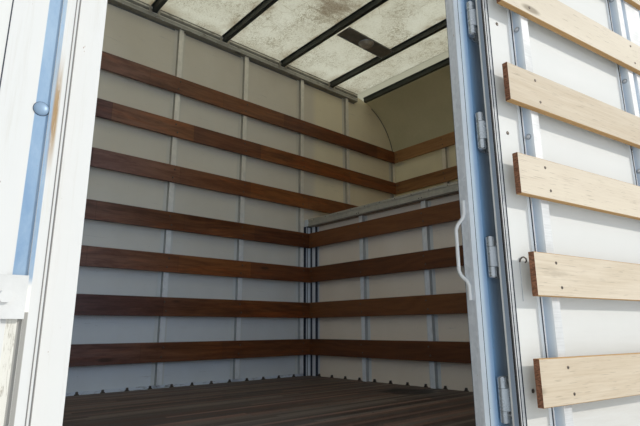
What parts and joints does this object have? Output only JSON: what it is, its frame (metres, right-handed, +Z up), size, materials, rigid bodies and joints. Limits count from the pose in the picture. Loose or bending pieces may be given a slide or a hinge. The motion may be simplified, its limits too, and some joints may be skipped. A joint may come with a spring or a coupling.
{
  "type": "box truck cargo body",
  "caption": "Mover's box truck body with a curved attic over the cab, slatted walls inside, an open hinged side door, rear swing doors and sills for the chassis.",
  "frame": {"origin": "middle of the chassis bolt pattern, on the underside of the two long sills, on the body's centre line", "axes": "+Y forward towards the attic nose, +X to the kerb side with the side door, +Z up"},
  "size_m": [2.8748, 7.429, 3],
  "materials": {
    "galvanised": "galvanised steel",
    "aluminium": "mill finish",
    "white_sheet": "white painted aluminium sheet",
    "frame_paint": "white painted steel",
    "slat_wood": "varnished boards",
    "door_slat_wood": "bleached boards",
    "floor_wood": "laminated oak boards, worn",
    "deck_wood": "plywood deck",
    "roof_sheet": "translucent glass-fibre sheet",
    "nose_shell": "glass-fibre shell",
    "bow_steel": "dull galvanised steel",
    "under_paint": "black chassis paint",
    "rubber": "black rubber",
    "hinge_steel": "zinc plated",
    "lamp_lens": "lamp lenses",
    "amber_lens": "amber lens",
    "red_lens": "red lens"
  },
  "bodies": {
    "body": {"attic_deck": "deck_wood", "attic_rail": "galvanised", "bottom_rail_left": "aluminium", "bottom_rail_right": "aluminium", "bulkhead_panel": "white_sheet", "bulkhead_posts": "galvanised", "bulkhead_slats": "slat_wood", "cross_members": "under_paint", "floor_boards": "floor_wood", "grab_handle": "frame_paint", "latch_keeper": "frame_paint", "long_sill_left": "under_paint", "long_sill_right": "under_paint", "nose_lamps": "amber_lens", "nose_panel": "nose_shell", "nose_posts": "galvanised", "nose_slats": "slat_wood", "panel_left": "white_sheet", "panel_right": "white_sheet", "posts_left": "galvanised", "posts_right": "galvanised", "rear_frame": "frame_paint", "rear_lamps": "red_lens", "roof_bows": "bow_steel", "roof_lamps": "lamp_lens", "roof_sheet": "roof_sheet", "side_frame": "frame_paint", "side_hinges_fixed": "hinge_steel", "slats_left": "slat_wood", "slats_right": "slat_wood", "top_rail_left": "aluminium", "top_rail_right": "aluminium"},
    "side_door": {"side_door_panel": "white_sheet", "side_door_frame": "aluminium", "side_door_slats": "door_slat_wood", "side_door_seal": "rubber", "side_door_hinges": "hinge_steel", "side_door_lock": "hinge_steel"},
    "rear_right": {"rear_door_right": "white_sheet", "rear_lock_right": "hinge_steel"},
    "rear_left": {"rear_door_left": "white_sheet", "rear_lock_left": "hinge_steel"}
  },
  "joints": [
    {"name": "side_door_hinge", "type": "hinge", "parent": "body", "child": "side_door", "pos_m": [1.3155, 1.546, 1.5], "axis": [0, 0, 1], "range_deg": [-170.5, 5.5]},
    {"name": "rear_right_hinge", "type": "hinge", "parent": "body", "child": "rear_right", "pos_m": [1.292, -3.112, 1.5], "axis": [0, 0, 1], "range_deg": [0, 262]},
    {"name": "rear_left_hinge", "type": "hinge", "parent": "body", "child": "rear_left", "pos_m": [-1.292, -3.112, 1.5], "axis": [0, 0, -1], "range_deg": [0, 262]}
  ]
}
